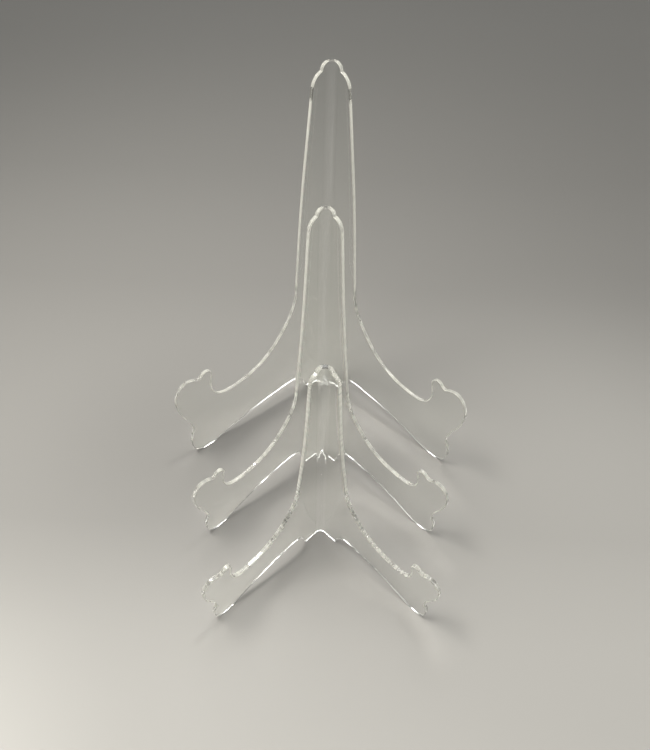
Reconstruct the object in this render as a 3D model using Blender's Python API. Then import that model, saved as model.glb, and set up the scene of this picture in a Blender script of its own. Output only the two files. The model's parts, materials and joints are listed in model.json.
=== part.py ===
"""Nesting plate display stands, each one sheet of clear acrylic folded into an upright V.

Units are metres, +Z is up and the stands open towards -Y. The origin is the middle of the sheet's
thickness at the large stand's spine, on the table.
"""

import math

import bmesh
import bpy
from mathutils import Matrix, Vector

MM = 0.001

# The sheet and its fold.
SHEET_THICKNESS = 3.0 * MM
BEND_INNER_RADIUS = 5.0 * MM
WING_ANGLE = math.radians(93.4)
BEND_FACETS = 12

# The cut outline, in the smoothness of its curves.
OUTLINE_STEPS = 3
WELD_DISTANCE = 0.00001

# Each stand: overall height; how far its lobes reach out and how high its rim seats stand, against
# the large stand's; the height of the arch under its wings; how far its column's edge bows out of
# a straight line; and where its spine stands on the table, with its turn about the upright.
STANDS = {
    "large_stand": {
        "height": 305.0 * MM,
        "reach": 1.0,
        "rise": 1.0,
        "arch_height": 18.0 * MM,
        "column_bow": 1.6 * MM,
        "spine": (0.0, 0.0),
        "turn": 0.0,
    },
    "medium_stand": {
        "height": 254.0 * MM,
        "reach": 0.80,
        "rise": 0.77,
        "arch_height": 21.0 * MM,
        "column_bow": -1.2 * MM,
        "spine": (0.4 * MM, -97.8 * MM),
        "turn": math.radians(2.3),
    },
    "small_stand": {
        "height": 201.0 * MM,
        "reach": 0.67,
        "rise": 0.67,
        "arch_height": 15.5 * MM,
        "column_bow": -1.6 * MM,
        "spine": (4.0 * MM, -181.0 * MM),
        "turn": math.radians(2.6),
    },
}

# The right half of the large stand's flat outline, in millimetres: distance out from the fold line
# and height, and whether the outline turns a corner there.
CORNER = True
SMOOTH = False

# Down from the top edge: the small head over the fold and the shoulder beside it.
HEAD = [
    (2.8, 0.0, SMOOTH),
    (5.9, -1.1, SMOOTH),
    (7.8, -3.0, SMOOTH),
    (8.6, -5.3, CORNER),
    (10.8, -6.2, SMOOTH),
    (13.6, -8.4, SMOOTH),
    (15.8, -11.6, SMOOTH),
    (16.8, -15.4, CORNER),
]

# Up from the table: the sweep from the column's foot to the rim seat, the hook in front of it,
# the round front lobe and the front foot.
SWEEP = [
    (35.0, 122.0, CORNER),
    (40.0, 108.0, SMOOTH),
    (53.0, 88.5, SMOOTH),
    (71.0, 71.0, SMOOTH),
    (90.0, 61.5, SMOOTH),
    (108.0, 58.0, CORNER),
]
HOOK = [
    (118.0, 58.0, CORNER),
    (125.5, 61.0, SMOOTH),
    (129.7, 67.5, SMOOTH),
    (130.4, 75.0, SMOOTH),
    (129.0, 82.5, SMOOTH),
    (128.0, 88.5, SMOOTH),
    (130.5, 93.0, SMOOTH),
    (135.3, 93.0, SMOOTH),
    (139.2, 89.8, SMOOTH),
    (141.6, 88.8, CORNER),
]
FRONT_LOBE = [
    (146.5, 91.6, SMOOTH),
    (153.0, 92.4, SMOOTH),
    (160.0, 88.2, SMOOTH),
    (164.5, 80.0, SMOOTH),
    (165.4, 70.0, SMOOTH),
    (163.0, 57.0, SMOOTH),
    (158.6, 47.0, SMOOTH),
    (156.0, 39.0, SMOOTH),
    (155.4, 31.5, CORNER),
]
FRONT_FOOT = [
    (158.2, 26.5, SMOOTH),
    (160.2, 19.0, SMOOTH),
    (160.0, 10.0, SMOOTH),
    (156.8, 3.0, SMOOTH),
    (150.5, 0.0, CORNER),
    (138.0, 0.0, CORNER),
]

# Back under the wing: distance out from the fold line and share of the arch's height.
ARCH = [
    (126.0, 0.20, SMOOTH),
    (106.0, 0.50, SMOOTH),
    (82.0, 0.78, SMOOTH),
    (58.0, 0.95, SMOOTH),
    (42.0, 1.00, SMOOTH),
    (34.0, 0.90, SMOOTH),
    (29.0, 0.50, SMOOTH),
    (25.5, 0.00, CORNER),
]

ACRYLIC = {"color": (0.86, 0.88, 0.87, 1.0), "roughness": 0.05, "metallic": 0.0}


def clear_scene():
    for obj in list(bpy.data.objects):
        bpy.data.objects.remove(obj, do_unlink=True)


def new_collection(name):
    collection = bpy.data.collections.new(name)
    bpy.context.scene.collection.children.link(collection)
    return collection


def acrylic_material(name):
    material = bpy.data.materials.new(name)
    material.use_nodes = True
    shader = material.node_tree.nodes["Principled BSDF"]
    shader.inputs["Base Color"].default_value = ACRYLIC["color"]
    shader.inputs["Roughness"].default_value = ACRYLIC["roughness"]
    shader.inputs["Metallic"].default_value = ACRYLIC["metallic"]
    shader.inputs["Transmission Weight"].default_value = 1.0
    shader.inputs["IOR"].default_value = 1.49
    material.diffuse_color = ACRYLIC["color"]
    return material


def half_outline(stand):
    """Points (out, up, corner) of the sheet's right half, from the top down and back to the fold."""
    reach = stand["reach"] * MM
    rise = stand["rise"] * MM
    top = stand["height"]
    head = [(out * reach, top + up * reach, corner) for out, up, corner in HEAD]
    rim = SWEEP + HOOK + FRONT_LOBE + FRONT_FOOT
    rim = [(out * reach, up * rise, corner) for out, up, corner in rim]
    arch = [(out * reach, share * stand["arch_height"], corner) for out, share, corner in ARCH]
    shoulder_out, shoulder_up, _ = head[-1]
    kink_out, kink_up, _ = rim[0]
    middle_out = (shoulder_out + kink_out) / 2 + stand["column_bow"]
    column = (middle_out, (shoulder_up + kink_up) / 2, SMOOTH)
    return head + [column] + rim + arch


def sheet_outline(stand):
    """The whole outline, clockwise from the right side of the head round to the left side."""
    right = half_outline(stand)
    left = [(-out, up, corner) for out, up, corner in reversed(right)]
    return right + left


def flat_sheet(name, stand):
    """The cut sheet before folding: X out from the fold line, Y up and Z through the thickness."""
    curve = bpy.data.curves.new(name + "_outline", "CURVE")
    curve.dimensions = "2D"
    curve.fill_mode = "BOTH"
    curve.extrude = SHEET_THICKNESS / 2
    curve.resolution_u = OUTLINE_STEPS
    points = sheet_outline(stand)
    spline = curve.splines.new("BEZIER")
    spline.bezier_points.add(len(points) - 1)
    spline.use_cyclic_u = True
    for bezier, (out, up, corner) in zip(spline.bezier_points, points):
        bezier.co = (out, up, 0.0)
        handle = "VECTOR" if corner else "AUTO"
        bezier.handle_left_type = handle
        bezier.handle_right_type = handle
    outline = bpy.data.objects.new(name + "_outline", curve)
    bpy.context.scene.collection.objects.link(outline)
    bpy.context.view_layer.update()
    depsgraph = bpy.context.evaluated_depsgraph_get()
    mesh = bpy.data.meshes.new_from_object(outline.evaluated_get(depsgraph))
    bpy.data.objects.remove(outline, do_unlink=True)
    mesh.name = name
    return mesh


def fold(point):
    """Where a point of the flat sheet goes when the sheet is bent about its upright centre line."""
    middle_radius = BEND_INNER_RADIUS + SHEET_THICKNESS / 2
    wing_turn = (math.pi - WING_ANGLE) / 2
    side = math.copysign(1.0, point.x)
    along = abs(point.x)
    turn = min(along / middle_radius, wing_turn)
    straight = max(along - middle_radius * wing_turn, 0.0)
    radius = middle_radius + point.z
    out = radius * math.sin(turn) + straight * math.cos(turn)
    forward = middle_radius - radius * math.cos(turn) + straight * math.sin(turn)
    return Vector((side * out, -forward, point.y))


def fold_sheet(mesh):
    """Crease lines across the bend, so that it turns in equal facets, and then the fold itself."""
    bend_half_width = (BEND_INNER_RADIUS + SHEET_THICKNESS / 2) * (math.pi - WING_ANGLE) / 2
    bm = bmesh.new()
    bm.from_mesh(mesh)
    bmesh.ops.remove_doubles(bm, verts=bm.verts, dist=WELD_DISTANCE)
    for step in range(BEND_FACETS + 1):
        crease = bend_half_width * (2 * step / BEND_FACETS - 1)
        bmesh.ops.bisect_plane(
            bm,
            geom=bm.verts[:] + bm.edges[:] + bm.faces[:],
            dist=WELD_DISTANCE,
            plane_co=(crease, 0.0, 0.0),
            plane_no=(1.0, 0.0, 0.0),
        )
    for vert in bm.verts:
        vert.co = fold(vert.co)
    bmesh.ops.recalc_face_normals(bm, faces=bm.faces)
    bm.to_mesh(mesh)
    bm.free()


def make_stand(name, stand, collection):
    mesh = flat_sheet(name, stand)
    fold_sheet(mesh)
    mesh.shade_smooth()
    mesh.set_sharp_from_angle(angle=math.radians(30))
    mesh.materials.clear()
    mesh.materials.append(acrylic_material(name + "_acrylic"))
    obj = bpy.data.objects.new(name, mesh)
    collection.objects.link(obj)
    across, back = stand["spine"]
    obj.matrix_world = Matrix.Translation((across, back, 0.0)) @ Matrix.Rotation(stand["turn"], 4, "Z")
    return obj


def main():
    clear_scene()
    collection = new_collection("plate_display_stands")
    for name, stand in STANDS.items():
        make_stand(name, stand, collection)


main()
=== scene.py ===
"""The looks of the nesting plate display stands: clear acrylic sheet on a satin floor.

Units are metres, +Z is up and the stands open towards -Y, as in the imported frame.
"""

import json
import math

import bmesh
import bpy
from mathutils import Matrix, Vector


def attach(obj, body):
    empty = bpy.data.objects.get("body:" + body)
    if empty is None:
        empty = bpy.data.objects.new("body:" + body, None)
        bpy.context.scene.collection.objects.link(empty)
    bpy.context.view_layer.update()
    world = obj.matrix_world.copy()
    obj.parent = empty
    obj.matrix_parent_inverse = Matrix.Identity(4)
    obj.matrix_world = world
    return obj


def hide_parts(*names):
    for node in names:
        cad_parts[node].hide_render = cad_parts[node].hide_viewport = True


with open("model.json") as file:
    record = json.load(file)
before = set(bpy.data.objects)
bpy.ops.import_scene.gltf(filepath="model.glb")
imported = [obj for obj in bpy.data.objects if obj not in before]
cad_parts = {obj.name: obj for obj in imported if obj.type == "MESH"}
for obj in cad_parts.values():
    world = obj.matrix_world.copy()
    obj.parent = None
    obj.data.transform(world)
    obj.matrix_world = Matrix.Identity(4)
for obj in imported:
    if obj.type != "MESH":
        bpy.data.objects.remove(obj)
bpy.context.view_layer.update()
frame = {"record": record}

MM = 0.001

# ---- The camera: a phone held above the table in front of the stands, looking down at them ----

CAMERA_PLACE = (0.0073, -0.3968, 0.4275)
CAMERA_PITCH = math.radians(47.31)
CAMERA_TURN = math.radians(0.84)
CAMERA_ROLL = math.radians(1.69)
CAMERA_LENS_MM = 26.02

# ---- The sheet: thickness, fold and outline as the CAD has them ----

SHEET_THICKNESS = 3.0 * MM
BEND_INNER_RADIUS = 5.0 * MM
WING_ANGLE = math.radians(93.4)

# The bend and the outline are in finer steps than the CAD's, and only this sheet has an arris.
BEND_FACETS = 32
OUTLINE_STEPS = 10
ARRIS = 0.4 * MM
WELD_DISTANCE = 0.000005
SMOOTH_BELOW = math.radians(28)
CREASE_LEAD_OUT = 0.4 * MM

# Each stand: its height in millimetres; how far its lobes reach out and how high its rim seats
# stand, against the large stand's; its arch's height and its column's bow in millimetres. Then its
# cut edge: how much the column and the head scatter, how uneven the head is, how much light the
# shoulder keeps under a painted shade just below it (1 is no shade), the range of the unevenness,
# and how fine and how strong its waves are.
STANDS = {
    "large": {
        "height": 305.0,
        "reach": 1.0,
        "rise": 1.0,
        "arch": 18.0,
        "column_bow": 1.6,
        "column_frost": 0.65,
        "head_frost": 0.42,
        "head_mottle": 0.1,
        "shoulder_painted_shade": 0.15,
        "mottle": (0.55, 1.25),
        "wave_scale": 110.0,
        "wave": 0.03,
    },
    "medium": {
        "height": 254.0,
        "reach": 0.80,
        "rise": 0.77,
        "arch": 21.0,
        "column_bow": -1.2,
        "column_frost": 0.82,
        "head_frost": 0.5,
        "head_mottle": 0.3,
        "shoulder_painted_shade": 0.8,
        "mottle": (0.45, 1.3),
        "wave_scale": 140.0,
        "wave": 0.05,
    },
    "small": {
        "height": 201.0,
        "reach": 0.67,
        "rise": 0.67,
        "arch": 15.5,
        "column_bow": -1.6,
        "column_frost": 0.92,
        "head_frost": 0.4,
        "head_mottle": 1.0,
        "shoulder_painted_shade": 1.0,
        "mottle": (0.12, 1.35),
        "wave_scale": 300.0,
        "wave": 0.3,
    },
}

CORNER = True
SMOOTH = False

# Down from the top edge: the small head over the fold and the shoulder beside it.
HEAD = [
    (2.8, 0.0, SMOOTH),
    (5.9, -1.1, SMOOTH),
    (7.8, -3.0, SMOOTH),
    (8.6, -5.3, CORNER),
    (10.8, -6.2, SMOOTH),
    (13.6, -8.4, SMOOTH),
    (15.8, -11.6, SMOOTH),
    (16.8, -15.4, CORNER),
]

# Up from the table: the sweep from the column's foot to the rim seat, the hook in front of it,
# the round front lobe and the front foot.
SWEEP = [
    (35.0, 122.0, CORNER),
    (40.0, 108.0, SMOOTH),
    (53.0, 88.5, SMOOTH),
    (71.0, 71.0, SMOOTH),
    (90.0, 61.5, SMOOTH),
    (108.0, 58.0, CORNER),
]
HOOK = [
    (118.0, 58.0, CORNER),
    (125.5, 61.0, SMOOTH),
    (129.7, 67.5, SMOOTH),
    (130.4, 75.0, SMOOTH),
    (129.0, 82.5, SMOOTH),
    (128.0, 88.5, SMOOTH),
    (130.5, 93.0, SMOOTH),
    (135.3, 93.0, SMOOTH),
    (139.2, 89.8, SMOOTH),
    (141.6, 88.8, CORNER),
]
FRONT_LOBE = [
    (146.5, 91.6, SMOOTH),
    (153.0, 92.4, SMOOTH),
    (160.0, 88.2, SMOOTH),
    (164.5, 80.0, SMOOTH),
    (165.4, 70.0, SMOOTH),
    (163.0, 57.0, SMOOTH),
    (158.6, 47.0, SMOOTH),
    (156.0, 39.0, SMOOTH),
    (155.4, 31.5, CORNER),
]
FRONT_FOOT = [
    (158.2, 26.5, SMOOTH),
    (160.2, 19.0, SMOOTH),
    (160.0, 10.0, SMOOTH),
    (156.8, 3.0, SMOOTH),
    (150.5, 0.0, CORNER),
    (138.0, 0.0, CORNER),
]

# Back under the wing: distance out from the fold line and share of the arch's height.
ARCH = [
    (126.0, 0.20, SMOOTH),
    (106.0, 0.50, SMOOTH),
    (82.0, 0.78, SMOOTH),
    (58.0, 0.95, SMOOTH),
    (42.0, 1.00, SMOOTH),
    (34.0, 0.90, SMOOTH),
    (29.0, 0.50, SMOOTH),
    (25.5, 0.00, CORNER),
]

# The kinds of surface on a sheet, in the order of its materials, and how squarely a surface of
# the flat sheet has to look out of the sheet to be a face, or along it to be a cut edge.
FACES = 0
CUT_EDGES = 1
ARRISES = 2
FACE_LEAN = 0.98
CUT_EDGE_LEAN = 0.2

# ---- The acrylic ----

ACRYLIC_IOR = 1.49
HEAD_ON_MIRROR = 0.04
SCHLICK_POWER = 5.0

# How many times one face's mirroring is thrown on to the floor. It is set to look bright
# enough, and is more than the sheet's two faces would give.
THROWN_GAIN = 3.8
THROWN_SOFTNESS = 0.12

FACE_CLEARNESS = 0.92
EDGE_CLEARNESS = 0.5
EDGE_CLEAR = (0.99, 0.985, 0.97)
BLACK = (0.0, 0.0, 0.0)
SHEET_TINT_DEEP = (0.984, 0.991, 0.969)
SHEET_TINT_PALE = (0.993, 0.998, 0.982)
EDGE_WHITE_DULL = (0.90, 0.90, 0.80)
EDGE_WHITE_BRIGHT = (0.98, 0.975, 0.92)
SHEET_UV = "flat_sheet"

# The patterns on the sheet: how fine each one is, the stretch of the noise that it uses, and how
# rough or deep it makes the surface.
TINT_SCALE = 14.0
HAZE_SCALE = 60.0
HAZE_NOISE = (0.5, 0.8)
HAZE_ROUGHNESS = (0.0, 0.02)
WARP_SCALE = 18.0
WARP_STRENGTH = 0.04
WARP_DEPTH = 0.3 * MM
WAVE_NOISE = (0.35, 0.65)
WAVE_DEPTH = 1.0 * MM
STREAKS_PER_WAVE = 4.0
STREAK_NOISE = (0.35, 0.7)
STREAK_ROUGHNESS = (0.02, 0.14)

# How much of the cut edge scatters light under the wings and round the lobes. Each stand has its
# own share for the column and for the head. The crown, over the fold, is clearer.
FROST_UNDER = 0.12
FROST_LOBES = 0.42
ARRIS_FROST_GAIN = 2.2
ARRIS_FROST_MOST = 0.95
CROWN_HALF_WIDTH = 4.5 * MM
CROWN_FROST = 0.2
# How far a painted shade on the cut edge reaches below and above the shoulder.
SHADED_BELOW_SHOULDER = 8.0 * MM
SHADED_ABOVE_SHOULDER = 1.5 * MM
COLUMN_MOTTLE = 0.15

# Where those levels ease into one another: past the arch, past the kink at the column's foot, and
# below and above the shoulder.
FROST_FROM_ARCH = 1.0 * MM
FROST_FULL_FROM_ARCH = 5.0 * MM
FROST_FULL_FROM_KINK = 6.0 * MM
FROST_BEFORE_SHOULDER = 1.5 * MM
# How the painted shade at the shoulder eases in from below and out above.
SHADE_EASES_IN = 3.0 * MM
SHADE_EASES_OUT = 1.0 * MM
MOTTLE_CALMS_FROM_KINK = 4.0 * MM
MOTTLE_CALM_FROM_KINK = 14.0 * MM
MOTTLE_BEFORE_SHOULDER = 10.0 * MM

# The faint haze the heating leaves along the fold.
BEND_HAZE = 0.03
BEND_HAZE_HALF_WIDTH = 3.5 * MM
BEND_HAZE_COLOUR = (0.95, 0.95, 0.93, 1.0)

# How far from the fold line a level starts to ease, as a share of where it ends.
EASE_START = 0.4


def half_outline(stand):
    """Points (out, up, corner) of the sheet's right half, from the top down and back to the fold."""
    reach = stand["reach"] * MM
    rise = stand["rise"] * MM
    top = stand["height"] * MM
    head = [(out * reach, top + up * reach, corner) for out, up, corner in HEAD]
    rim = SWEEP + HOOK + FRONT_LOBE + FRONT_FOOT
    rim = [(out * reach, up * rise, corner) for out, up, corner in rim]
    arch = [(out * reach, share * stand["arch"] * MM, corner) for out, share, corner in ARCH]
    shoulder_out, shoulder_up, _ = head[-1]
    kink_out, kink_up, _ = rim[0]
    middle_out = (shoulder_out + kink_out) / 2 + stand["column_bow"] * MM
    column = (middle_out, (shoulder_up + kink_up) / 2, SMOOTH)
    return head + [column] + rim + arch


def flat_sheet(name, stand):
    """The cut sheet before folding, with a small arris along its cut edges."""
    right = half_outline(stand)
    points = right + [(-out, up, corner) for out, up, corner in reversed(right)]
    curve = bpy.data.curves.new(name + "_outline", "CURVE")
    curve.dimensions = "2D"
    curve.fill_mode = "BOTH"
    curve.extrude = SHEET_THICKNESS / 2 - ARRIS
    curve.bevel_depth = ARRIS
    curve.bevel_resolution = 0
    curve.offset = -ARRIS
    curve.resolution_u = OUTLINE_STEPS
    spline = curve.splines.new("BEZIER")
    spline.bezier_points.add(len(points) - 1)
    spline.use_cyclic_u = True
    for bezier, (out, up, corner) in zip(spline.bezier_points, points):
        bezier.co = (out, up, 0.0)
        handle = "VECTOR" if corner else "AUTO"
        bezier.handle_left_type = handle
        bezier.handle_right_type = handle
    outline = bpy.data.objects.new(name + "_outline", curve)
    bpy.context.scene.collection.objects.link(outline)
    bpy.context.view_layer.update()
    depsgraph = bpy.context.evaluated_depsgraph_get()
    mesh = bpy.data.meshes.new_from_object(outline.evaluated_get(depsgraph))
    bpy.data.objects.remove(outline, do_unlink=True)
    mesh.name = name
    return mesh


def fold(point):
    """Where a point of the flat sheet goes when the sheet is bent about its upright centre line."""
    middle_radius = BEND_INNER_RADIUS + SHEET_THICKNESS / 2
    wing_turn = (math.pi - WING_ANGLE) / 2
    side = math.copysign(1.0, point.x)
    along = abs(point.x)
    turn = min(along / middle_radius, wing_turn)
    straight = max(along - middle_radius * wing_turn, 0.0)
    radius = middle_radius + point.z
    out = radius * math.sin(turn) + straight * math.cos(turn)
    forward = middle_radius - radius * math.cos(turn) + straight * math.sin(turn)
    return Vector((side * out, -forward, point.y))


def surface_kind(normal):
    """Whether a surface of the flat sheet is one of its faces, its cut edge or an arris."""
    lean = abs(normal.z)
    if lean > FACE_LEAN:
        return FACES
    if lean < CUT_EDGE_LEAN:
        return CUT_EDGES
    return ARRISES


def crease_lines():
    """How far each crease across the bend is from the fold line, with one more just past each end."""
    half_width = (BEND_INNER_RADIUS + SHEET_THICKNESS / 2) * (math.pi - WING_ANGLE) / 2
    bend = [half_width * (2 * step / BEND_FACETS - 1) for step in range(BEND_FACETS + 1)]
    return [bend[0] - CREASE_LEAD_OUT] + bend + [bend[-1] + CREASE_LEAD_OUT]


def fold_sheet(mesh):
    """Marks faces, cut edges and arrises by material, keeps the flat layout as UVs, and folds."""
    bm = bmesh.new()
    bm.from_mesh(mesh)
    bmesh.ops.remove_doubles(bm, verts=bm.verts, dist=WELD_DISTANCE)
    bmesh.ops.recalc_face_normals(bm, faces=bm.faces)
    bm.normal_update()
    uv = bm.loops.layers.uv.new(SHEET_UV)
    for face in bm.faces:
        face.material_index = surface_kind(face.normal)
        for loop in face.loops:
            loop[uv].uv = loop.vert.co.xy
    for crease in crease_lines():
        bmesh.ops.bisect_plane(
            bm,
            geom=bm.verts[:] + bm.edges[:] + bm.faces[:],
            dist=WELD_DISTANCE,
            plane_co=(crease, 0.0, 0.0),
            plane_no=(1.0, 0.0, 0.0),
        )
    for vert in bm.verts:
        vert.co = fold(vert.co)
    bmesh.ops.recalc_face_normals(bm, faces=bm.faces)
    if bm.calc_volume(signed=True) < 0.0:
        bmesh.ops.reverse_faces(bm, faces=bm.faces)
    bm.to_mesh(mesh)
    bm.free()


def standing_place(size):
    """Where a stand's spine is and how it is turned, from its rest face and its two rim seats."""
    mounts = {mount["name"]: Vector(mount["pos_m"]) for mount in frame["record"]["mounts"]}
    across = mounts[size + "_rim_seat_right"] - mounts[size + "_rim_seat_left"]
    turn = math.atan2(across.y, across.x)
    return Matrix.Translation(mounts[size + "_rest"]) @ Matrix.Rotation(turn, 4, "Z")


def new_material(name):
    material = bpy.data.materials.new(name)
    material.use_nodes = True
    nodes = material.node_tree.nodes
    nodes.clear()
    output = nodes.new("ShaderNodeOutputMaterial")
    return material, nodes, material.node_tree.links, output


def noise(nodes, links, vector, scale, detail):
    node = nodes.new("ShaderNodeTexNoise")
    node.inputs["Scale"].default_value = scale
    node.inputs["Detail"].default_value = detail
    node.inputs["Roughness"].default_value = 0.5
    links.new(vector, node.inputs["Vector"])
    return node.outputs["Fac"]


def remap(nodes, links, value, low, high, to_low, to_high):
    node = nodes.new("ShaderNodeMapRange")
    node.inputs["From Min"].default_value = low
    node.inputs["From Max"].default_value = high
    node.inputs["To Min"].default_value = to_low
    node.inputs["To Max"].default_value = to_high
    links.new(value, node.inputs["Value"])
    return node.outputs["Result"]


def two_colours(nodes, links, factor, first, second):
    node = nodes.new("ShaderNodeMix")
    node.data_type = "RGBA"
    node.inputs[6].default_value = (*first, 1.0)
    node.inputs[7].default_value = (*second, 1.0)
    links.new(factor, node.inputs["Factor"])
    return node.outputs[2]


def mix_shaders(nodes, links, share, first, second):
    """The first shader, giving way to the second as the share goes from 0 to 1."""
    mix = nodes.new("ShaderNodeMixShader")
    links.new(share, mix.inputs[0])
    links.new(first, mix.inputs[1])
    links.new(second, mix.inputs[2])
    return mix.outputs[0]


def bump(nodes, links, height, strength, distance):
    """The surface's direction, swayed by a height pattern."""
    node = nodes.new("ShaderNodeBump")
    node.inputs["Strength"].default_value = strength
    node.inputs["Distance"].default_value = distance
    links.new(height, node.inputs["Height"])
    return node.outputs["Normal"]


def clear_acrylic(nodes, links, colour, roughness, normal):
    """Refracting acrylic with the given colour, roughness and surface direction."""
    glass = nodes.new("ShaderNodeBsdfPrincipled")
    glass.inputs["IOR"].default_value = ACRYLIC_IOR
    glass.inputs["Transmission Weight"].default_value = 1.0
    links.new(colour, glass.inputs["Base Color"])
    links.new(roughness, glass.inputs["Roughness"])
    links.new(normal, glass.inputs["Normal"])
    return glass.outputs[0]


def by_height(nodes, links, height, stops):
    """A level that changes up the sheet; the stops are (height in metres, level) from the table up."""
    top = stops[-1][0]
    ramp_node = nodes.new("ShaderNodeValToRGB")
    ramp = ramp_node.color_ramp
    ramp.elements[0].position = 0.0
    ramp.elements[0].color = (*(stops[0][1],) * 3, 1.0)
    ramp.elements[1].position = 1.0
    ramp.elements[1].color = (*(stops[-1][1],) * 3, 1.0)
    for stop, level in stops[1:-1]:
        element = ramp.elements.new(stop / top)
        element.color = (level, level, level, 1.0)
    links.new(remap(nodes, links, height, 0.0, top, 0.0, 1.0), ramp_node.inputs["Fac"])
    return ramp_node.outputs["Color"]


def product(nodes, links, first, second):
    node = nodes.new("ShaderNodeMath")
    node.operation = "MULTIPLY"
    node.use_clamp = True
    links.new(first, node.inputs[0])
    links.new(second, node.inputs[1])
    return node.outputs[0]


def off_the_fold(nodes, links, across, half_width, on_fold, off_fold):
    """One level on the fold line, easing to another at half_width to either side of it."""
    apart = nodes.new("ShaderNodeMath")
    apart.operation = "ABSOLUTE"
    links.new(across, apart.inputs[0])
    ease = nodes.new("ShaderNodeMapRange")
    ease.interpolation_type = "SMOOTHSTEP"
    ease.inputs["From Min"].default_value = EASE_START * half_width
    ease.inputs["From Max"].default_value = half_width
    ease.inputs["To Min"].default_value = on_fold
    ease.inputs["To Max"].default_value = off_fold
    links.new(apart.outputs[0], ease.inputs["Value"])
    return ease.outputs["Result"]


def facing_mirror_share(nodes, links):
    """How much of the light one face of the sheet mirrors: Schlick's rule on the angle it is met at."""
    weight = nodes.new("ShaderNodeLayerWeight")
    weight.inputs["Blend"].default_value = 0.5
    power = nodes.new("ShaderNodeMath")
    power.operation = "POWER"
    power.inputs[1].default_value = SCHLICK_POWER
    links.new(weight.outputs["Facing"], power.inputs[0])
    return remap(nodes, links, power.outputs[0], 0.0, 1.0, HEAD_ON_MIRROR, 1.0)


def light_let_through(nodes, links, mirrored, clearness):
    """A lamp's light on its way to the floor: it passes straight on, less what the sheet mirrors."""
    shadow = nodes.new("ShaderNodeBsdfTransparent")
    colour = two_colours(nodes, links, mirrored, (clearness,) * 3, BLACK)
    links.new(colour, shadow.inputs["Color"])
    return shadow.outputs[0]


def light_thrown(nodes, links, mirrored, clearness):
    """What the floor is lit by through the sheet, and what the sheet's outer sides mirror on to it."""
    outside = nodes.new("ShaderNodeMath")
    outside.operation = "SUBTRACT"
    outside.inputs[0].default_value = 1.0
    links.new(nodes.new("ShaderNodeNewGeometry").outputs["Backfacing"], outside.inputs[1])

    share = nodes.new("ShaderNodeMath")
    share.operation = "MULTIPLY"
    share.use_clamp = True
    share.inputs[1].default_value = THROWN_GAIN
    links.new(product(nodes, links, mirrored, outside.outputs[0]), share.inputs[0])

    straight = nodes.new("ShaderNodeBsdfTransparent")
    straight.inputs["Color"].default_value = (clearness, clearness, clearness, 1.0)
    mirror = nodes.new("ShaderNodeBsdfGlossy")
    mirror.inputs["Roughness"].default_value = THROWN_SOFTNESS
    return mix_shaders(nodes, links, share.outputs[0], straight.outputs[0], mirror.outputs[0])


def with_clear_shadow(nodes, links, shader, clearness):
    """The shader as it is seen, with simpler ones for the light that the sheet lets on to the floor.

    What the sheet mirrors is held back from the shadow and thrown on to the floor beside it.
    """
    path = nodes.new("ShaderNodeLightPath")
    mirrored = facing_mirror_share(nodes, links)
    shadow = light_let_through(nodes, links, mirrored, clearness)
    thrown = light_thrown(nodes, links, mirrored, clearness)
    for_floor = mix_shaders(nodes, links, path.outputs["Is Diffuse Ray"], shader, thrown)
    return mix_shaders(nodes, links, path.outputs["Is Shadow Ray"], for_floor, shadow)


def sheet_place(nodes):
    """Places on the flat sheet in metres, so that a pattern runs across the edge's thickness."""
    place = nodes.new("ShaderNodeUVMap")
    place.uv_map = SHEET_UV
    return place.outputs["UV"]


def acrylic_face(name):
    """The sheet's clear face: a faint colour cast, a faint haze and a slight warp, and hazier at the
    fold.
    """
    material, nodes, links, output = new_material(name)
    place = sheet_place(nodes)

    tint_and_painted_shade = noise(nodes, links, place, TINT_SCALE, 2.0)
    colour = two_colours(nodes, links, tint_and_painted_shade, SHEET_TINT_DEEP, SHEET_TINT_PALE)
    haze = noise(nodes, links, place, HAZE_SCALE, 4.0)
    roughness = remap(nodes, links, haze, *HAZE_NOISE, *HAZE_ROUGHNESS)
    warp = noise(nodes, links, place, WARP_SCALE, 0.0)
    normal = bump(nodes, links, warp, WARP_STRENGTH, WARP_DEPTH)
    glass = clear_acrylic(nodes, links, colour, roughness, normal)

    apart = nodes.new("ShaderNodeSeparateXYZ")
    links.new(place, apart.inputs[0])
    haze_share = off_the_fold(nodes, links, apart.outputs["X"], BEND_HAZE_HALF_WIDTH, BEND_HAZE, 0.0)
    hazy = nodes.new("ShaderNodeBsdfTranslucent")
    hazy.inputs["Color"].default_value = BEND_HAZE_COLOUR
    face = mix_shaders(nodes, links, haze_share, glass, hazy.outputs[0])

    links.new(with_clear_shadow(nodes, links, face, FACE_CLEARNESS), output.inputs["Surface"])
    return material


def landmarks(stand):
    """Heights where the column's edge starts and ends, and of the very top."""
    kink = SWEEP[0][1] * stand["rise"] * MM
    top = stand["height"] * MM
    shoulder = top + HEAD[-1][1] * stand["reach"] * MM
    return kink, shoulder, top


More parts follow.
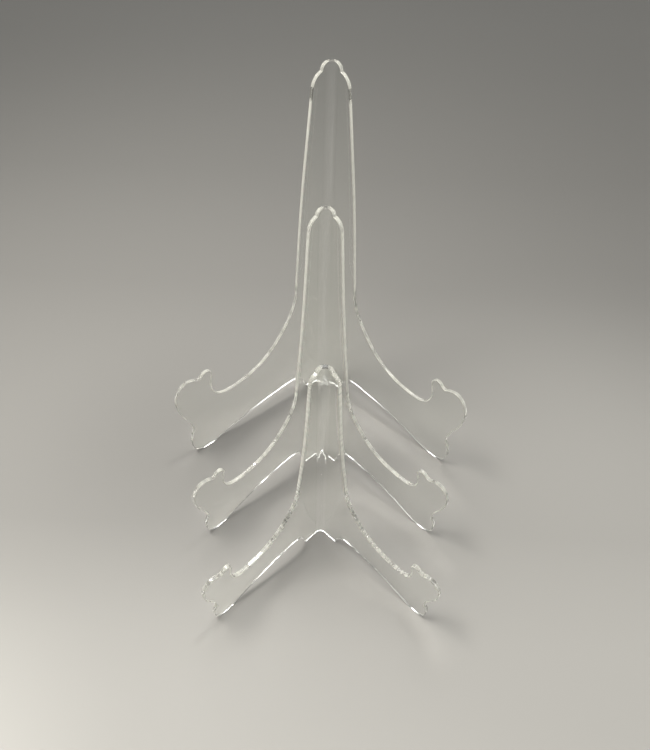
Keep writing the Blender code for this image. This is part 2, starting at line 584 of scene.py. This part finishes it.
def edge_frost(nodes, links, place, stand, is_arris):
    """The scattering share round the outline, and a painted shade below the shoulder that darkens the
    clear part and thins the scattering there.
    """
    apart = nodes.new("ShaderNodeSeparateXYZ")
    links.new(place, apart.inputs[0])
    arch = stand["arch"] * MM
    kink, shoulder, top = landmarks(stand)
    stops = [
        (0.0, FROST_UNDER),
        (arch + FROST_FROM_ARCH, FROST_UNDER),
        (arch + FROST_FULL_FROM_ARCH, FROST_LOBES),
        (kink, FROST_LOBES),
        (kink + FROST_FULL_FROM_KINK, stand["column_frost"]),
        (shoulder - FROST_BEFORE_SHOULDER, stand["column_frost"]),
        (shoulder, stand["head_frost"]),
        (top, stand["head_frost"]),
    ]
    if is_arris:
        stops = [(height, min(ARRIS_FROST_GAIN * level, ARRIS_FROST_MOST)) for height, level in stops]
    frost = by_height(nodes, links, apart.outputs["Y"], stops)
    crown = off_the_fold(nodes, links, apart.outputs["X"], CROWN_HALF_WIDTH, CROWN_FROST, 1.0)
    shade_start = shoulder - SHADED_BELOW_SHOULDER
    shade_end = shoulder + SHADED_ABOVE_SHOULDER
    # Painted shade: the edge is darkened from just below the shoulder to just above it.
    shade = [
        (0.0, 1.0),
        (shade_start, 1.0),
        (shade_start + SHADE_EASES_IN, stand["shoulder_painted_shade"]),
        (shade_end, stand["shoulder_painted_shade"]),
        (shade_end + SHADE_EASES_OUT, 1.0),
        (top, 1.0),
    ]
    tint_and_painted_shade = by_height(nodes, links, apart.outputs["Y"], shade)
    return product(nodes, links, product(nodes, links, frost, crown), tint_and_painted_shade), tint_and_painted_shade


def edge_mottle(nodes, links, place, waves, stand):
    """Uneven scattering round the lobes and sweeps, calming to an even line up the column."""
    apart = nodes.new("ShaderNodeSeparateXYZ")
    links.new(place, apart.inputs[0])
    kink, shoulder, top = landmarks(stand)
    stops = [
        (0.0, 1.0),
        (kink + MOTTLE_CALMS_FROM_KINK, 1.0),
        (kink + MOTTLE_CALM_FROM_KINK, COLUMN_MOTTLE),
        (shoulder - MOTTLE_BEFORE_SHOULDER, COLUMN_MOTTLE),
        (shoulder, stand["head_mottle"]),
        (top, stand["head_mottle"]),
    ]
    reach = by_height(nodes, links, apart.outputs["Y"], stops)
    uneven = remap(nodes, links, waves, *WAVE_NOISE, *stand["mottle"])
    blend = nodes.new("ShaderNodeMix")
    blend.data_type = "FLOAT"
    blend.inputs[2].default_value = 1.0
    links.new(reach, blend.inputs[0])
    links.new(uneven, blend.inputs[3])
    return blend.outputs[0]


def scattering(nodes, links, colour, normal):
    """Light scattered half back and half through."""
    outer = nodes.new("ShaderNodeBsdfDiffuse")
    inner = nodes.new("ShaderNodeBsdfTranslucent")
    for lit in (outer, inner):
        links.new(colour, lit.inputs["Color"])
        links.new(normal, lit.inputs["Normal"])
    scatter = nodes.new("ShaderNodeMixShader")
    scatter.inputs[0].default_value = 0.5
    links.new(outer.outputs[0], scatter.inputs[1])
    links.new(inner.outputs[0], scatter.inputs[2])
    return scatter.outputs[0]


def acrylic_edge(name, stand, is_arris):
    """The polished cut edge: clear, but scattering light in streaks across its thickness."""
    material, nodes, links, output = new_material(name)
    place = sheet_place(nodes)
    waves = noise(nodes, links, place, stand["wave_scale"], 1.0)
    streaks = noise(nodes, links, place, STREAKS_PER_WAVE * stand["wave_scale"], 2.0)
    frost, tint_and_painted_shade = edge_frost(nodes, links, place, stand, is_arris)
    normal = bump(nodes, links, waves, stand["wave"], WAVE_DEPTH)

    # The clear part's colour, darkened by the painted shade below the shoulder.
    colour = two_colours(nodes, links, tint_and_painted_shade, BLACK, EDGE_CLEAR)
    roughness = remap(nodes, links, streaks, *STREAK_NOISE, *STREAK_ROUGHNESS)
    glass = clear_acrylic(nodes, links, colour, roughness, normal)

    white = two_colours(nodes, links, streaks, EDGE_WHITE_DULL, EDGE_WHITE_BRIGHT)
    scatter = scattering(nodes, links, white, normal)
    mottle = edge_mottle(nodes, links, place, waves, stand)
    edge = mix_shaders(nodes, links, product(nodes, links, mottle, frost), glass, scatter)

    links.new(with_clear_shadow(nodes, links, edge, EDGE_CLEARNESS), output.inputs["Surface"])
    return material


def make_stand(size, stand):
    node = size + "_stand"
    mesh = flat_sheet(size + "_sheet", stand)
    fold_sheet(mesh)
    mesh.transform(standing_place(size))
    mesh.shade_smooth()
    mesh.set_sharp_from_angle(angle=SMOOTH_BELOW)
    mesh.materials.append(acrylic_face(size + "_faces"))
    mesh.materials.append(acrylic_edge(size + "_cut_edges", stand, False))
    mesh.materials.append(acrylic_edge(size + "_arrises", stand, True))
    sheet = bpy.data.objects.new(size + "_sheet", mesh)
    bpy.context.scene.collection.objects.link(sheet)
    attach(sheet, node)
    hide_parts(node)


# ---- The floor, the light and the camera ----

# Painted light falloff on the floor: how pale it is by distance behind the large stand's spine, in
# metres.
FLOOR_PAINTED_FALLOFF = [(-0.40, 0.36), (-0.27, 0.30), (-0.18, 0.235), (0.15, 0.18), (0.45, 0.17), (1.30, 0.19)]
FLOOR_WARMTH = (1.0, 0.975, 0.925)
FLOOR_SIZE = 40.0
FLOOR_SHINE = 0.15
FLOOR_GRAIN_SCALE = 900.0
FLOOR_GRAIN_NOISE = (0.3, 0.7)
FLOOR_ROUGHNESS = (0.5, 0.6)

# Soft patches of painted light and shade on the floor, standing in for uneven light in the room:
# where each is centred, how far it reaches and how many times paler its middle is. The one round
# the left wings is darker, a painted shade.
FLOOR_PAINTED_LIGHT_PATCHES = [
    (Vector((0.32, -0.09, 0.0)), 0.32, 1.27),
    (Vector((-0.30, -0.42, 0.0)), 0.22, 1.50),
    (Vector((-0.13, -0.12, 0.0)), 0.20, 0.86),
]

# The room: its walls' and ceiling's light, how high a direction points where the ceiling starts,
# and two soft patches of light.
ROOM_COLOUR = (1.0, 1.0, 0.97, 1.0)
WALL_LIGHT = 0.14
CEILING_LIGHT = 0.22
CEILING_START = 0.7
GLOW_LIGHT = 5.0
GLOW_SPREAD = math.radians(24)
GLOW_DIRECTION = Vector((-0.06, 0.66, 1.0))
WINDOW_LIGHT = 1.7
WINDOW_SPREAD = math.radians(50)
WINDOW_DIRECTION = Vector((1.0, 0.15, 0.3))

# The lamps above the stands, in metres and watts. Both point at the same place on the table.
LAMPS_AIM = Vector((0.0, -0.12, 0.0))
LAMPS = {
    "left_lamp": {
        "place": Vector((-0.45, -0.06, 1.0)),
        "width": 0.36,
        "depth": 0.24,
        "power": 13.0,
        "colour": (1.0, 0.975, 0.92),
    },
    "right_lamp": {
        "place": Vector((0.12, 0.05, 1.0)),
        "width": 0.06,
        "depth": 0.06,
        "power": 2.0,
        "colour": (1.0, 0.98, 0.95),
    },
}

# How often light may bounce before it is lost, so that it gets through sheets behind sheets.
MOST_BOUNCES = 32
MOST_STRAIGHT_PASSES = 48


def painted_light_patch(nodes, links, place, middle, reach, paler):
    """How many times paler the painted light makes the floor, easing from the middle of a patch out to
    its reach.
    """
    away = nodes.new("ShaderNodeVectorMath")
    away.operation = "DISTANCE"
    away.inputs[1].default_value = middle
    links.new(place, away.inputs[0])
    ease = nodes.new("ShaderNodeMapRange")
    ease.interpolation_type = "SMOOTHSTEP"
    ease.inputs["From Max"].default_value = reach
    ease.inputs["To Min"].default_value = paler
    ease.inputs["To Max"].default_value = 1.0
    links.new(away.outputs["Value"], ease.inputs["Value"])
    return ease.outputs["Result"]


def floor_material():
    """A satin sheet with a fine grain, its grey painted deeper away from the viewer as painted light
    falloff, and paler or darker in patches of painted light and shade.
    """
    material, nodes, links, output = new_material("floor_satin")
    place = nodes.new("ShaderNodeTexCoord").outputs["Object"]
    satin = nodes.new("ShaderNodeBsdfPrincipled")
    satin.inputs["Specular IOR Level"].default_value = FLOOR_SHINE
    apart = nodes.new("ShaderNodeSeparateXYZ")
    links.new(place, apart.inputs[0])
    near = FLOOR_PAINTED_FALLOFF[0][0]
    far = FLOOR_PAINTED_FALLOFF[-1][0]
    from_near = remap(nodes, links, apart.outputs["Y"], near, far, 0.0, far - near)
    painted_light_level = by_height(nodes, links, from_near, [(behind - near, level) for behind, level in FLOOR_PAINTED_FALLOFF])
    for middle, reach, paler in FLOOR_PAINTED_LIGHT_PATCHES:
        painted_light_level = product(nodes, links, painted_light_level, painted_light_patch(nodes, links, place, middle, reach, paler))
    colour = two_colours(nodes, links, painted_light_level, BLACK, FLOOR_WARMTH)
    links.new(colour, satin.inputs["Base Color"])
    grain = noise(nodes, links, place, FLOOR_GRAIN_SCALE, 2.0)
    roughness = remap(nodes, links, grain, *FLOOR_GRAIN_NOISE, *FLOOR_ROUGHNESS)
    links.new(roughness, satin.inputs["Roughness"])
    links.new(satin.outputs[0], output.inputs["Surface"])
    return material


def make_floor():
    bpy.ops.mesh.primitive_plane_add(size=FLOOR_SIZE, location=(0.0, 0.0, 0.0))
    floor = bpy.context.object
    floor.name = "floor"
    floor.data.materials.append(floor_material())


def make_lamp(name, lamp):
    """A soft rectangular lamp that shines down on the stands."""
    data = bpy.data.lights.new(name, "AREA")
    data.shape = "RECTANGLE"
    data.size = lamp["width"]
    data.size_y = lamp["depth"]
    data.energy = lamp["power"]
    data.color = lamp["colour"]
    light = bpy.data.objects.new(name, data)
    light.location = lamp["place"]
    light.rotation_euler = (LAMPS_AIM - lamp["place"]).to_track_quat("-Z", "Y").to_euler()
    bpy.context.scene.collection.objects.link(light)


def bright_patch(nodes, links, direction, middle, spread, level):
    """A soft round patch of light in the room, fading out at the spread from its middle."""
    towards = nodes.new("ShaderNodeVectorMath")
    towards.operation = "DOT_PRODUCT"
    towards.inputs[1].default_value = middle.normalized()
    links.new(direction, towards.inputs[0])
    patch = nodes.new("ShaderNodeMapRange")
    patch.interpolation_type = "SMOOTHSTEP"
    patch.inputs["From Min"].default_value = math.cos(spread)
    patch.inputs["From Max"].default_value = 1.0
    patch.inputs["To Max"].default_value = level
    links.new(towards.outputs["Value"], patch.inputs["Value"])
    return patch.outputs["Result"]


def total(nodes, links, first, second):
    node = nodes.new("ShaderNodeMath")
    node.operation = "ADD"
    links.new(first, node.inputs[0])
    links.new(second, node.inputs[1])
    return node.outputs[0]


def make_world():
    """A soft room: pale walls, a brighter ceiling, a glow up behind the stands and a side window."""
    world = bpy.data.worlds.new("soft_room")
    bpy.context.scene.world = world
    world.use_nodes = True
    nodes = world.node_tree.nodes
    links = world.node_tree.links
    background = nodes["Background"]
    direction = nodes.new("ShaderNodeTexCoord").outputs["Generated"]
    apart = nodes.new("ShaderNodeSeparateXYZ")
    links.new(direction, apart.inputs[0])
    light = remap(nodes, links, apart.outputs["Z"], 0.0, CEILING_START, WALL_LIGHT, CEILING_LIGHT)
    glow = bright_patch(nodes, links, direction, GLOW_DIRECTION, GLOW_SPREAD, GLOW_LIGHT)
    window = bright_patch(nodes, links, direction, WINDOW_DIRECTION, WINDOW_SPREAD, WINDOW_LIGHT)
    light = total(nodes, links, total(nodes, links, light, glow), window)
    background.inputs["Color"].default_value = ROOM_COLOUR
    links.new(light, background.inputs["Strength"])


def make_camera():
    data = bpy.data.cameras.new("camera")
    data.lens = CAMERA_LENS_MM
    data.sensor_width = 36.0
    data.clip_start = 0.01
    camera = bpy.data.objects.new("camera", data)
    camera.matrix_world = (
        Matrix.Translation(CAMERA_PLACE)
        @ Matrix.Rotation(CAMERA_TURN, 4, "Z")
        @ Matrix.Rotation(math.pi / 2 - CAMERA_PITCH, 4, "X")
        @ Matrix.Rotation(CAMERA_ROLL, 4, "Z")
    )
    bpy.context.scene.collection.objects.link(camera)
    bpy.context.scene.camera = camera


def tune_render():
    scene = bpy.context.scene
    scene.view_settings.view_transform = "Standard"
    scene.cycles.max_bounces = MOST_BOUNCES
    scene.cycles.glossy_bounces = MOST_BOUNCES
    scene.cycles.transmission_bounces = MOST_BOUNCES
    scene.cycles.transparent_max_bounces = MOST_STRAIGHT_PASSES
    scene.cycles.blur_glossy = 0.0
    scene.cycles.caustics_reflective = True
    scene.cycles.caustics_refractive = True


make_camera()
for size, stand in STANDS.items():
    make_stand(size, stand)
make_floor()
make_world()
for name, lamp in LAMPS.items():
    make_lamp(name, lamp)
tune_render()
